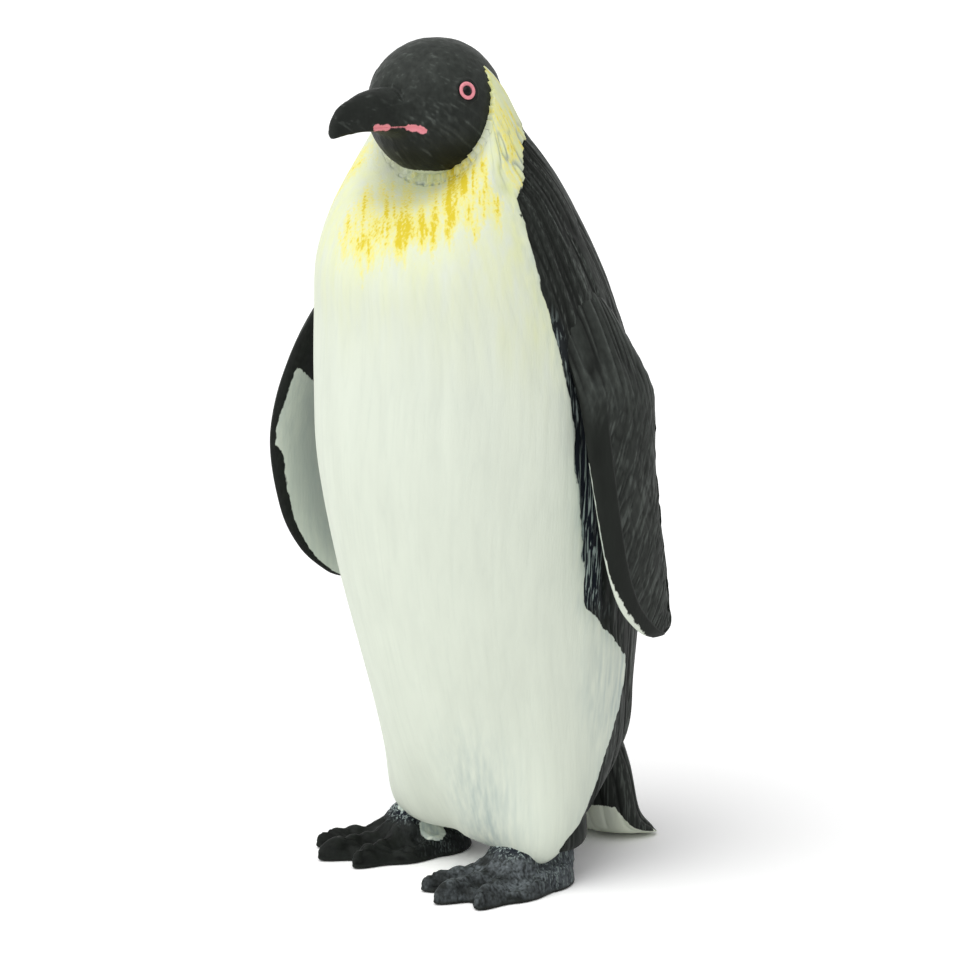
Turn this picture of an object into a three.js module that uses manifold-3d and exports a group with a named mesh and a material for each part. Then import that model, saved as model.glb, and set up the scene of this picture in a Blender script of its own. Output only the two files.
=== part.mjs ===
// Penguin figurine: a solid soft-vinyl toy that stands on both feet, its upper body turned a little left.
// Millimetres, +Z up. The figure faces -Y and its left side is +X.
// Seven mouldings are plugged together and glued, and two eye beads are pressed into the head.

import * as THREE from 'three';
import { LoftGeometry } from 'three/addons/geometries/LoftGeometry.js';
import { mergeVertices } from 'three/addons/utils/BufferGeometryUtils.js';
import Module from 'manifold-3d';

// Fit between any two mouldings that meet
const CLEARANCE = 0.3;

// Head: an egg-shaped ball, stepped down behind the face to sit inside the collar
const HEAD_Y = -8.3;
const HEAD_Z = 90.65;
const HEAD_HALF_WIDTH = 7.6;
const HEAD_HALF_LENGTH = 8.2;
const HEAD_HALF_HEIGHT = 7.9;
const NECK_PLUG_RADIUS = 2.8;
const NECK_PLUG_LENGTH = 14; // from the middle of the ball
const NECK_PLUG_LEAN = 18; // degrees from upright, running back into the neck

// Collar: the edge of the torso round the face
const COLLAR_LEAN = 76; // degrees from level, tipped forward under the chin
const COLLAR_SET = 0.4; // behind the middle of the ball
const COLLAR_PROUD = 0.4; // outside the ball at the sides
const COLLAR_DROP = 0.4; // below the middle of the ball, so the rim is level with the crown
const COLLAR_WALL = 1.8;

// Torso: oval sections up a spine that bows forward and ends at the collar
const TORSO_SECTIONS = [
  // y, z, lean in degrees, half width, half depth
  [0.8, 5.6, 16, 3.0, 3.0],
  [1.0, 5.8, 16, 8.0, 6.6],
  [1.9, 8.2, 16, 12.4, 10.6],
  [2.7, 14.5, 8, 14.2, 14.0],
  [1.4, 24.0, 0, 15.8, 16.1],
  [0.0, 36.5, 0, 18.0, 18.0],
  [-1.2, 48.5, 0, 19.2, 19.2],
  [-2.2, 58.0, 0, 18.9, 18.7],
  [-3.8, 67.0, 2, 17.7, 17.2],
  [-5.6, 74.0, 6, 15.9, 15.7],
  [-6.9, 80.0, 14, 13.6, 13.0],
  [-8.0, 84.5, 28, 11.0, 10.3],
  [-8.0, 87.8, 50, 9.3, 8.9],
  [
    HEAD_Y + COLLAR_SET,
    HEAD_Z - COLLAR_DROP,
    COLLAR_LEAN,
    HEAD_HALF_WIDTH + COLLAR_PROUD,
    HEAD_HALF_HEIGHT,
  ],
];
const UPPER_TURN = 9; // degrees the shoulders and head turn to the left
const TURN_START = 30; // height where the turn begins
const TURN_END = 75; // height where it is complete

// Lower body: squared off, folded in between the legs and swollen at the thighs
const BASE_TOP = 22; // height below which the base takes its own shape
const BASE_SQUARE = 0.25;
const CROTCH_REACH = 3.6;
const CROTCH_FOLD = 2.5;
const THIGH_HEIGHT = 22;
const THIGH_REACH = 8;
const THIGH_SWELL = 1.0;
const THIGH_NARROW = 6; // the higher, the less of the body's girth a thigh takes up
const LEFT_HIP_SWELL = 3.4; // how far the body spreads to meet the tops of the legs
const RIGHT_HIP_SWELL = 1.6;
const HIP_HEADING = 69; // degrees round from the front
const HIP_SPREAD = 26;
const HIP_HEIGHT = 8;
const HIP_REACH = 8;
const HIP_DROP = 0.75; // how far its lower edge hangs there, as a share of the spread
const HIP_DROP_FULL = 6; // heights where the drop begins to fade and where it is gone
const HIP_DROP_GONE = 18;

// Trouser legs of the torso, one round each ankle
const LEG_SECTIONS = [
  // height, lean in degrees, half width, half depth
  [4.6, -10, 3.4, 3.8],
  [4.2, -10, 4.8, 5.2],
  [5.8, -10, 5.3, 5.7],
  [10.0, -6, 4.8, 5.4],
  [15.0, 0, 3.6, 4.6],
  [20.0, 0, 2.4, 3.2],
];
const HEM_RISE = 3.5; // the hem is lowest at one heading and climbs this much by the opposite one
const HEM_HEADING = 65; // degrees round from the front
const HEM_FULL = 0.2; // shares of the leg where the climb begins to fade and where it is gone
const HEM_GONE = 0.7;

// Bill
const BILL_SECTIONS = [
  // distance ahead of the ball's middle, half width, upper edge, lower edge
  [4.0, 3.0, 2.8, -2.6],
  [8.0, 2.8, 3.3, -2.1],
  [11.3, 2.3, 3.3, -1.5],
  [13.9, 1.8, 2.8, -1.2],
  [16.1, 1.2, 2.0, -1.4],
  [17.2, 0.8, 0.9, -1.6],
  [17.6, 0.3, 0.0, -1.2],
];
const MOUTH_HEIGHT = -0.8; // mouth line, relative to the ball's middle
const MOUTH_WIDTH = 0.5;
const MOUTH_DEPTH = 0.25;
const MOUTH_FRONT = 12.2;
const MOUTH_BACK = 6.1;
const MOUTH_SLOPE = 3.5; // degrees the line drops towards the cheek

// Eye beads: a raised ring round a domed pupil
const EYE_RADIUS = 1.05;
const EYE_RIM = 0.4;
const EYE_EDGE = 0.05; // height of the ring's edges above the head
const EYE_PROUD = 0.22; // height of the ring's crest
const EYE_PUPIL_PROUD = 0.35;
const EYE_DEPTH = 1.4;
const EYE_AHEAD = 2.25;
const EYE_ABOVE = 2.8;

// Flippers, hung from the shoulders
const FLIPPER_SECTIONS = [
  // height above the shoulder, front edge, rear edge, half thickness, bow outward
  [6.4, 0.0, 1.2, 0.5, -2.6],
  [5.2, -2.4, 3.4, 1.4, -1.6],
  [0.5, -3.6, 6.0, 2.1, 0.6],
  [-7.5, -4.2, 8.2, 1.9, 3.2],
  [-17.0, -4.3, 6.8, 1.6, 4.8],
  [-26.0, -2.9, 7.5, 1.3, 5.2],
  [-31.5, -0.6, 8.3, 1.1, 5.1],
  [-35.0, 2.9, 8.8, 0.8, 4.9],
  [-36.2, 5.4, 7.7, 0.3, 4.8],
];
const SHOULDER_HEIGHT = 66;
const SHOULDER_SINK = 1.4; // inside the torso's widest point at that height
const SHOULDER_Y = -2.6;
const RIGHT_SHOULDER_LIFT = 0.9;
const LEFT_FLIPPER_BOW = 1; // how many times the bow outward is taken
const RIGHT_FLIPPER_BOW = 2.9;
const LEFT_FLIPPER_TUCK = 0.9; // how far the top is tucked in at the shoulder
const RIGHT_FLIPPER_TUCK = -0.7;
const TUCK_START = -9; // heights between which the tuck sets in
const TUCK_END = 2;
const LEFT_FLIPPER_FLARE = 2; // degrees the tip swings out
const RIGHT_FLIPPER_FLARE = -7.5;
const FLIPPER_PLUG_HALF_HEIGHT = 2.4;
const FLIPPER_PLUG_HALF_WIDTH = 1.8;
const FLIPPER_PLUG_LENGTH = 6;
const FLIPPER_PLUG_START = 1.2; // outside the shoulder point, within the blade
const FLIPPER_PLUG_Y = 1;

// Feet: a webbed outline with three toes, and an ankle that stands behind its middle
const LEFT_FOOT_X = 10.3;
const LEFT_FOOT_Y = -3.2;
const LEFT_FOOT_TURN = 1; // degrees
const RIGHT_FOOT_X = -8.6;
const RIGHT_FOOT_Y = -3.0;
const RIGHT_FOOT_TURN = -12;
const TOE_ANGLES = [-22.5, 0, 22.5];
const TOE_REACHES = [13.0, 14.2, 13.0];
const TOE_SPREAD = 8.5; // degrees either side of a toe's middle line
const TOE_HEIGHT = 2.7;
const TOE_FADE = 4; // how soon the toes melt into the ankle as it rises
const WEB_REACH = 9.4;
const WEB_HEIGHT = 1.5;
const WEB_START = 30; // degrees from straight ahead where the web begins to draw in
const WEB_END = 85;
const HEEL_REACH = 5.6;
const HEEL_START = 0.1; // the heel's wall rises behind, over this range of the backward share
const HEEL_END = 0.8;
const ANKLE_SET = 2; // behind the middle of the outline
const ANKLE_RADIUS = 3.5;
const ANKLE_HEIGHT = 8;
const FOOT_SECTIONS = [
  // shares of the outline, the thickness, the ankle's circle and the ankle's height
  [0.1, 0.0, 0.0, 0.0],
  [0.55, 0.0, 0.0, 0.0],
  [0.94, 0.0, 0.0, 0.0],
  [1.0, 0.3, 0.0, 0.0],
  [0.96, 0.72, 0.0, 0.0],
  [0.85, 0.98, 0.0, 0.0],
  [0.7, 1.05, 0.05, 0.03],
  [0.53, 1.05, 0.25, 0.32],
  [0.46, 1.0, 0.65, 0.66],
  [0.45, 1.0, 1.0, 1.0],
];
const ANKLE_PLUG_RADIUS = 2.2;
const ANKLE_PLUG_FOOT = 1; // where the plug begins inside the foot
const ANKLE_PLUG_TOP = 14;

// Tail: a wedge that runs down to the floor behind the legs
const TAIL_SECTIONS = [
  // y, z, half width, half thickness
  [12.0, 17.0, 2.6, 1.6],
  [14.4, 13.5, 4.2, 3.0],
  [15.9, 8.6, 5.4, 3.6],
  [17.0, 2.7, 6.3, 3.4],
  [19.6, 0.9, 6.6, 1.6],
  [21.2, 0.35, 5.8, 0.3],
];
const TAIL_LEAN = 27; // degrees the wedge's thickness tips up behind
const TAIL_PLUG_RADIUS = 2.2;
const TAIL_PLUG_LENGTH = 8;
const TAIL_PLUG_Y = 15.2; // where the plug begins inside the wedge
const TAIL_PLUG_Z = 9.5;
const TAIL_PLUG_RISE = 20; // degrees above level, running forward into the body

// Points round and rings along each skin, and the segments of round shapes
const TORSO_MESH = [44, 36];
const LEG_MESH = [24, 10];
const BILL_MESH = [20, 18];
const FLIPPER_MESH = [24, 22];
const FOOT_MESH = [48, 18];
const TAIL_MESH = [20, 12];
const BALL_SEGMENTS = [26, 16];
const ROD_SEGMENTS = 16;

// Paint
const BLACK = 0x303431;
const CREAM = 0xe4e6d4;
const PINK = 0xe08a90;
const SATIN = 0.5;
const MATT = 0.6;
const GLOSS = 0.25;

const wasm = await Module();
wasm.setup();
const { degToRad, lerp, mapLinear, smoothstep } = THREE.MathUtils;
const FULL_TURN = 2 * Math.PI;
const WELD = 1e-4;
const rounded = (value, power) => Math.sign(value) * Math.abs(value) ** power;
const bell = (distance, reach) => Math.exp(-((distance / reach) ** 2));

// Smooth functions of t from 0 to 1 through the columns of a table.
function smoothRows(rows) {
  const pointsOf = (column) => rows.map((row, index) => new THREE.Vector2(index, row[column]));
  const curves = rows[0].map((_, column) => new THREE.SplineCurve(pointsOf(column)));
  return (t) => curves.map((curve) => curve.getPoint(t).y);
}

// A ring drawn together to its middle, which closes the end of a loft.
function poleOf(ring) {
  const middle = new THREE.Vector3();
  ring.forEach((point) => middle.add(point));
  middle.divideScalar(ring.length);
  return ring.map(() => middle);
}

// A closed skin over rings: pointAt(angle, t) gives a point, t runs along the loft.
function loft(pointAt, [around, along]) {
  const ringAt = (t) => Array.from({ length: around }, (_, j) => pointAt(FULL_TURN * j / around, t));
  const rings = Array.from({ length: along + 1 }, (_, i) => ringAt(i / along));
  return weld(new LoftGeometry([poleOf(rings[0]), ...rings, poleOf(rings.at(-1))]));
}

// Points and corners alone, with shared points joined and the triangles that collapse at a pole left out.
function weld(geometry) {
  const bare = new THREE.BufferGeometry();
  bare.setAttribute('position', geometry.getAttribute('position').clone());
  bare.setIndex(geometry.index);
  const welded = mergeVertices(bare, WELD);
  const corners = Array.from(welded.index.array);
  const kept = [];
  for (let i = 0; i < corners.length; i += 3) {
    const [a, b, c] = corners.slice(i, i + 3);
    if (a !== b && b !== c && c !== a) kept.push(a, b, c);
  }
  return welded.setIndex(kept);
}

// A welded geometry pushed out along its normals.
function grown(geometry, distance) {
  const copy = geometry.clone();
  copy.computeVertexNormals();
  const points = copy.getAttribute('position');
  const normals = copy.getAttribute('normal');
  const point = new THREE.Vector3();
  const normal = new THREE.Vector3();
  for (let i = 0; i < points.count; i += 1) {
    point.fromBufferAttribute(points, i);
    normal.fromBufferAttribute(normals, i);
    point.addScaledVector(normal, distance);
    points.setXYZ(i, point.x, point.y, point.z);
  }
  return copy;
}

function solidOf(geometry) {
  const welded = weld(geometry);
  return new wasm.Manifold(new wasm.Mesh({
    numProp: 3,
    vertProperties: welded.getAttribute('position').array,
    triVerts: new Uint32Array(welded.index.array),
  }));
}

function meshOf(name, solid, colour, roughness) {
  const { vertProperties, triVerts } = solid.getMesh();
  const geometry = new THREE.BufferGeometry();
  geometry.setAttribute('position', new THREE.BufferAttribute(vertProperties, 3));
  geometry.setIndex(new THREE.BufferAttribute(triVerts, 1));
  geometry.computeVertexNormals();
  const material = new THREE.MeshStandardMaterial({ color: colour, roughness, metalness: 0 });
  const mesh = new THREE.Mesh(geometry, material);
  mesh.name = name;
  return mesh;
}

// A solid moved from a group's own frame into the figure's, or back.
function outOf(group, solid) {
  group.updateWorldMatrix(true, false);
  return solid.transform(group.matrixWorld.elements);
}

function into(group, solid) {
  group.updateWorldMatrix(true, false);
  return solid.transform(group.matrixWorld.clone().invert().elements);
}

// A round rod from one point to another.
function rod(radius, from, to) {
  const run = new THREE.Vector3().subVectors(to, from);
  const geometry = new THREE.CylinderGeometry(radius, radius, run.length(), ROD_SEGMENTS);
  const upright = new THREE.Vector3(0, 1, 0);
  geometry.applyQuaternion(new THREE.Quaternion().setFromUnitVectors(upright, run.clone().normalize()));
  const middle = new THREE.Vector3().addVectors(from, to).multiplyScalar(0.5);
  return solidOf(geometry.translate(...middle));
}

// Torso skin: the angle runs round the body from the front to its left, t runs up the spine.
function torsoSkin() {
  const rowAt = smoothRows(TORSO_SECTIONS);
  const pointAt = (angle, t) => {
    const [y, z, lean, halfWidth, halfDepth] = rowAt(t);
    const tilt = degToRad(lean);
    const turn = degToRad(UPPER_TURN) * smoothstep(z, TURN_START, TURN_END);
    const thigh = THIGH_SWELL * bell(z - THIGH_HEIGHT, THIGH_REACH) * Math.sin(angle) ** THIGH_NARROW;
    const low = 1 - smoothstep(z, 0, BASE_TOP);
    const heading = Math.min(angle, FULL_TURN - angle);
    const hip = angle < Math.PI ? LEFT_HIP_SWELL : RIGHT_HIP_SWELL;
    const beside = hip * bell(heading - degToRad(HIP_HEADING), degToRad(HIP_SPREAD));
    const swell = 1 + beside * bell(z - HIP_HEIGHT, HIP_REACH) / halfWidth;
    const drop = HIP_DROP * beside * (1 - smoothstep(z, HIP_DROP_FULL, HIP_DROP_GONE));
    const side = (halfWidth + thigh) * swell * rounded(Math.sin(angle), 1 - BASE_SQUARE * low);
    const front = halfDepth * swell * rounded(Math.cos(angle), 1 - BASE_SQUARE * low);
    const fold = CROTCH_FOLD * low * bell(side, CROTCH_REACH) * Math.max(0, Math.cos(angle));
    const ahead = front * Math.cos(tilt) - fold;
    const x = side * Math.cos(turn) + ahead * Math.sin(turn);
    const back = y + side * Math.sin(turn) - ahead * Math.cos(turn);
    return new THREE.Vector3(x, back, z - drop - front * Math.sin(tilt));
  };
  return loft(pointAt, TORSO_MESH);
}

// Trouser leg, in the foot's frame.
function legSkin() {
  const rowAt = smoothRows(LEG_SECTIONS);
  const pointAt = (angle, t) => {
    const [z, lean, halfWidth, halfDepth] = rowAt(t);
    const front = halfDepth * Math.cos(angle);
    const climb = HEM_RISE * (1 - Math.cos(angle - degToRad(HEM_HEADING))) / 2;
    const hem = climb * (1 - smoothstep(t, HEM_FULL, HEM_GONE));
    const height = z + hem - front * Math.sin(degToRad(lean));
    return new THREE.Vector3(halfWidth * Math.sin(angle), ANKLE_SET - front, height);
  };
  return loft(pointAt, LEG_MESH);
}

// Head and collar, in the head's own frame
function ball(shrink) {
  const skin = new THREE.SphereGeometry(1, ...BALL_SEGMENTS).rotateX(Math.PI / 2);
  const halves = [HEAD_HALF_WIDTH, HEAD_HALF_LENGTH, HEAD_HALF_HEIGHT];
  return solidOf(skin.scale(...halves.map((half) => half - shrink)));
}

// Everything in front of the collar's plane.
function aheadOfCollar(gap) {
  const size = 4 * Math.max(HEAD_HALF_WIDTH, HEAD_HALF_LENGTH, HEAD_HALF_HEIGHT);
  const block = new THREE.BoxGeometry(size, size, size).translate(0, 0, size / 2 + gap);
  return solidOf(block.rotateX(degToRad(COLLAR_LEAN)).translate(0, COLLAR_SET, 0));
}

// The ball, its stepped-down rear and its plug, all of them grown by the same amount.
function headCore(grow) {
  const face = ball(-grow).intersect(aheadOfCollar(CLEARANCE - grow));
  const rear = ball(COLLAR_WALL - grow);
  const plugEnd = new THREE.Vector3(0, 0, -NECK_PLUG_LENGTH - grow);
  plugEnd.applyAxisAngle(new THREE.Vector3(1, 0, 0), degToRad(NECK_PLUG_LEAN));
  const plug = rod(NECK_PLUG_RADIUS + grow, new THREE.Vector3(), plugEnd);
  return face.add(rear).add(plug);
}

function billSkin() {
  const rowAt = smoothRows(BILL_SECTIONS);
  const pointAt = (angle, t) => {
    const [ahead, halfWidth, upper, lower] = rowAt(t);
    const reach = Math.sin(angle) > 0 ? upper - MOUTH_HEIGHT : MOUTH_HEIGHT - lower;
    return new THREE.Vector3(halfWidth * Math.cos(angle), -ahead, MOUTH_HEIGHT + reach * Math.sin(angle));
  };
  return loft(pointAt, BILL_MESH);
}

// Groove along both sides of the mouth: a thin slab, less the head shrunk by the groove's depth.
function mouthGroove() {
  const slab = new THREE.BoxGeometry(4 * HEAD_HALF_WIDTH, MOUTH_FRONT - MOUTH_BACK, MOUTH_WIDTH);
  slab.rotateX(-degToRad(MOUTH_SLOPE)).translate(0, -(MOUTH_FRONT + MOUTH_BACK) / 2, MOUTH_HEIGHT);
  const kept = ball(MOUTH_DEPTH).add(solidOf(grown(billSkin(), -MOUTH_DEPTH)));
  return solidOf(slab).subtract(kept);
}

// Frame of one eye: +Z points out of the head.
function eyePlace(side) {
  const forward = EYE_AHEAD / HEAD_HALF_LENGTH;
  const upward = EYE_ABOVE / HEAD_HALF_HEIGHT;
  const outward = Math.sqrt(1 - forward ** 2 - upward ** 2);
  const out = new THREE.Vector3(
    side * outward / HEAD_HALF_WIDTH,
    -forward / HEAD_HALF_LENGTH,
    upward / HEAD_HALF_HEIGHT,
  );
  const place = new THREE.Group();
  place.position.set(side * outward * HEAD_HALF_WIDTH, -EYE_AHEAD, EYE_ABOVE);
  place.quaternion.setFromUnitVectors(new THREE.Vector3(0, 0, 1), out.normalize());
  return place;
}

function eyeBead() {
  const profile = [
    new THREE.Vector2(0, -EYE_DEPTH),
    new THREE.Vector2(EYE_RADIUS, -EYE_DEPTH),
    new THREE.Vector2(EYE_RADIUS, EYE_EDGE),
    new THREE.Vector2(EYE_RADIUS - EYE_RIM / 2, EYE_PROUD),
    new THREE.Vector2(EYE_RADIUS - EYE_RIM, EYE_EDGE),
    new THREE.Vector2((EYE_RADIUS - EYE_RIM) / 2, EYE_PROUD),
    new THREE.Vector2(0, EYE_PUPIL_PROUD),
  ];
  return solidOf(new THREE.LatheGeometry(profile, ROD_SEGMENTS).rotateX(Math.PI / 2));
}

function eyePocket() {
  const floor = new THREE.Vector3(0, 0, -EYE_DEPTH - CLEARANCE);
  return rod(EYE_RADIUS + CLEARANCE, floor, new THREE.Vector3(0, 0, EYE_RADIUS));
}

// Half width of the torso at a height.
function torsoHalfWidth(height) {
  const next = TORSO_SECTIONS.findIndex((row) => row[1] >= height);
  const [, lowZ, , lowHalf] = TORSO_SECTIONS[next - 1];
  const [, highZ, , highHalf] = TORSO_SECTIONS[next];
  return mapLinear(height, lowZ, highZ, lowHalf, highHalf);
}

// Flipper blade in the shoulder's frame; bow scales how far it stands out, and tuck draws its top in.
function flipperSkin(side, bow, tuck) {
  const rowAt = smoothRows(FLIPPER_SECTIONS);
  const pointAt = (angle, t) => {
    const [z, front, rear, halfThick, out] = rowAt(t);
    const y = (front + rear) / 2 + (rear - front) / 2 * Math.cos(angle);
    const stand = bow * out - tuck * smoothstep(z, TUCK_START, TUCK_END);
    return new THREE.Vector3(side * stand + halfThick * Math.sin(angle), y, z);
  };
  return loft(pointAt, FLIPPER_MESH);
}

// Oval plug that keeps a flipper at its angle.
function flipperPlug(side, grow) {
  const length = FLIPPER_PLUG_LENGTH + grow;
  const oval = new THREE.CylinderGeometry(1, 1, 1, ROD_SEGMENTS).rotateZ(Math.PI / 2);
  oval.scale(length, FLIPPER_PLUG_HALF_WIDTH + grow, FLIPPER_PLUG_HALF_HEIGHT + grow);
  return solidOf(oval.translate(side * (FLIPPER_PLUG_START - length / 2), FLIPPER_PLUG_Y, 0));
}

// Foot skin: t runs from the middle of the sole over the toes to the top of the ankle.
function footSkin() {
  const rowAt = smoothRows(FOOT_SECTIONS);
  const pointAt = (angle, t) => {
    const heading = angle > Math.PI ? angle - FULL_TURN : angle;
    const [reach, rise, ankle, height] = rowAt(t);
    const apart = Math.max(0, 1 - TOE_FADE * height);
    const toes = TOE_ANGLES.map((toe) => apart * bell(heading - degToRad(toe), degToRad(TOE_SPREAD)));
    const webbed = 1 - smoothstep(Math.abs(heading), degToRad(WEB_START), degToRad(WEB_END));
    const outline = toes.reduce(
      (sum, toe, index) => sum + toe * (TOE_REACHES[index] - WEB_REACH),
      lerp(HEEL_REACH, WEB_REACH, webbed),
    );
    const thick = lerp(WEB_HEIGHT, TOE_HEIGHT, Math.max(...toes, 1 - webbed, 1 - apart));
    const heel = smoothstep(-Math.cos(angle), HEEL_START, HEEL_END);
    const radius = lerp(lerp(reach, 1, heel * Math.min(1, rise)) * outline, ANKLE_RADIUS, ankle);
    const z = Math.max(0, thick * rise * (1 - ankle) + ANKLE_HEIGHT * height);
    return new THREE.Vector3(radius * Math.sin(angle), ankle * ANKLE_SET - radius * Math.cos(angle), z);
  };
  return loft(pointAt, FOOT_MESH);
}

function anklePlug(grow) {
  const foot = new THREE.Vector3(0, ANKLE_SET, ANKLE_PLUG_FOOT);
  return rod(ANKLE_PLUG_RADIUS + grow, foot, foot.clone().setZ(ANKLE_PLUG_TOP + grow));
}

function tailSkin() {
  const rowAt = smoothRows(TAIL_SECTIONS);
  const tilt = degToRad(TAIL_LEAN);
  const pointAt = (angle, t) => {
    const [y, z, halfWidth, halfThick] = rowAt(t);
    const back = halfThick * Math.sin(angle) * Math.cos(tilt);
    const up = halfThick * Math.sin(angle) * Math.sin(tilt);
    return new THREE.Vector3(-halfWidth * Math.cos(angle), y + back, z + up);
  };
  return loft(pointAt, TAIL_MESH);
}

function tailPlug(grow) {
  const root = new THREE.Vector3(0, TAIL_PLUG_Y, TAIL_PLUG_Z);
  const rise = degToRad(TAIL_PLUG_RISE);
  const inward = new THREE.Vector3(0, -Math.cos(rise), Math.sin(rise));
  return rod(TAIL_PLUG_RADIUS + grow, root, root.clone().addScaledVector(inward, TAIL_PLUG_LENGTH + grow));
}

// Assembly
const figure = new THREE.Group();
const feet = [
  { name: 'left_foot', x: LEFT_FOOT_X, y: LEFT_FOOT_Y, turn: LEFT_FOOT_TURN },
  { name: 'right_foot', x: RIGHT_FOOT_X, y: RIGHT_FOOT_Y, turn: RIGHT_FOOT_TURN },
];
for (const foot of feet) {
  foot.place = new THREE.Group();
  foot.place.position.set(foot.x, foot.y, 0);
  foot.place.rotation.z = degToRad(foot.turn);
  figure.add(foot.place);
}

// The torso with its legs, and the room the other mouldings leave round it
const body = torsoSkin();
const leg = legSkin();
let torso = solidOf(body);
let room = solidOf(grown(body, CLEARANCE));
for (const { place } of feet) {
  torso = torso.add(outOf(place, solidOf(leg)));
  room = room.add(outOf(place, solidOf(grown(leg, CLEARANCE))));
}

const headPlace = new THREE.Group();
headPlace.position.set(0, HEAD_Y, HEAD_Z);
headPlace.rotation.z = degToRad(UPPER_TURN);
figure.add(headPlace);
torso = torso.subtract(outOf(headPlace, headCore(CLEARANCE)));

let head = headCore(0).add(solidOf(billSkin())).subtract(mouthGroove());
for (const side of [1, -1]) {
  const place = eyePlace(side);
  place.add(meshOf(side > 0 ? 'left_eye' : 'right_eye', eyeBead(), PINK, GLOSS));
  place.updateMatrix();
  head = head.subtract(eyePocket().transform(place.matrix.elements));
  headPlace.add(place);
}
headPlace.add(meshOf('head', head, BLACK, SATIN));

const flippers = [
  ['left_flipper', 1, 0, LEFT_FLIPPER_BOW, LEFT_FLIPPER_TUCK, LEFT_FLIPPER_FLARE],
  ['right_flipper', -1, RIGHT_SHOULDER_LIFT, RIGHT_FLIPPER_BOW, RIGHT_FLIPPER_TUCK, RIGHT_FLIPPER_FLARE],
];
for (const [name, side, lift, bow, tuck, flare] of flippers) {
  const turned = new THREE.Group();
  turned.position.set(0, SHOULDER_Y, SHOULDER_HEIGHT);
  turned.rotation.z = degToRad(UPPER_TURN);
  const shoulder = new THREE.Group();
  shoulder.position.set(side * (torsoHalfWidth(SHOULDER_HEIGHT) - SHOULDER_SINK), 0, lift);
  shoulder.rotation.y = -side * degToRad(flare);
  turned.add(shoulder);
  figure.add(turned);
  const blade = solidOf(flipperSkin(side, bow, tuck)).subtract(into(shoulder, room));
  torso = torso.subtract(outOf(shoulder, flipperPlug(side, CLEARANCE)));
  shoulder.add(meshOf(name, blade.add(flipperPlug(side, 0)), BLACK, SATIN));
}

for (const { name, place } of feet) {
  const foot = solidOf(footSkin()).subtract(into(place, room));
  torso = torso.subtract(outOf(place, anklePlug(CLEARANCE)));
  place.add(meshOf(name, foot.add(anklePlug(0)), BLACK, MATT));
}

const tail = solidOf(tailSkin()).subtract(room).add(tailPlug(0));
torso = torso.subtract(tailPlug(CLEARANCE));
figure.add(meshOf('tail', tail, BLACK, MATT));
figure.add(meshOf('torso', torso, CREAM, MATT));

// The part's origin is the middle of its footprint, on the floor.
const penguin = new THREE.Group();
const box = new THREE.Box3().setFromObject(figure, true);
const middle = box.getCenter(new THREE.Vector3());
figure.position.set(-middle.x, -middle.y, -box.min.z);
penguin.add(figure);

export default penguin;
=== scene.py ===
import bpy
import numpy as np
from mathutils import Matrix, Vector


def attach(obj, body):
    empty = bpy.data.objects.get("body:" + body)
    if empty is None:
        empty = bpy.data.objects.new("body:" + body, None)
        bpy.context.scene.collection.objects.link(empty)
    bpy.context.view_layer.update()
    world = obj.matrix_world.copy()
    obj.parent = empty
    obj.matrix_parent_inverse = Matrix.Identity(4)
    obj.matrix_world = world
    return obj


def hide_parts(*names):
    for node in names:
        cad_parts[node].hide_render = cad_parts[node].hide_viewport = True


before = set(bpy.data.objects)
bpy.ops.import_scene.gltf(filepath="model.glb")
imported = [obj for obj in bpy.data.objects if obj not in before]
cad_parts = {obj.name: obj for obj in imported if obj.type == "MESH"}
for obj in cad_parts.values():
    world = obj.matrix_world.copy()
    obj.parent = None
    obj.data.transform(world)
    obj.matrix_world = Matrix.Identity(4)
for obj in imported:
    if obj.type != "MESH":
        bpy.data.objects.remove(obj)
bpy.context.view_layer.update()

bl_info = {
    "name": "Penguin Figurine",
    "version": (1, 0, 0),
    "blender": (4, 5, 0),
    "location": "View3D > Sidebar > Penguin",
    "description": "Dresses the solid parts of a moulded, hand-painted penguin figurine",
    "category": "Add Mesh",
}

# Lengths are in millimetres in the modeller's frame, whose floor point lies between the feet.
# ORIGIN is where that point lies in the part's frame.
MM = 0.001
ORIGIN = np.array([3.2152, 2.1315, 0.0])
FULL_TURN = 2 * np.pi

# Torso: spine y, spine z, forward lean in degrees, half width, half depth
TORSO_SECTIONS = (
    (0.8, 5.6, 16, 3.0, 3.0),
    (1.0, 5.8, 16, 8.0, 6.6),
    (1.9, 8.2, 16, 12.4, 10.6),
    (2.7, 14.5, 8, 14.2, 14.0),
    (1.4, 24.0, 0, 15.8, 16.1),
    (0.0, 36.5, 0, 18.0, 18.0),
    (-1.2, 48.5, 0, 19.2, 19.2),
    (-2.2, 58.0, 0, 18.9, 18.7),
    (-3.8, 67.0, 2, 17.7, 17.2),
    (-5.6, 74.0, 6, 15.9, 15.7),
    (-6.9, 80.0, 14, 13.6, 13.0),
    (-8.0, 84.5, 28, 11.0, 10.3),
    (-8.0, 87.8, 50, 9.3, 8.9),
    (-7.9, 90.25, 76, 8.0, 7.9),
)
UPPER_TURN = np.radians(9)
TURN_START = 30
TURN_END = 75
BASE_TOP = 22
BASE_SQUARE = 0.25
CROTCH_REACH = 3.6
CROTCH_FOLD = 2.5
THIGH_HEIGHT = 22
THIGH_REACH = 8
THIGH_SWELL = 1
THIGH_NARROW = 6
LEFT_HIP_SWELL = 3.4
RIGHT_HIP_SWELL = 1.6
HIP_HEADING = np.radians(69)
HIP_SPREAD = np.radians(26)
HIP_HEIGHT = 8
HIP_REACH = 8
HIP_DROP = 0.75

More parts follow.
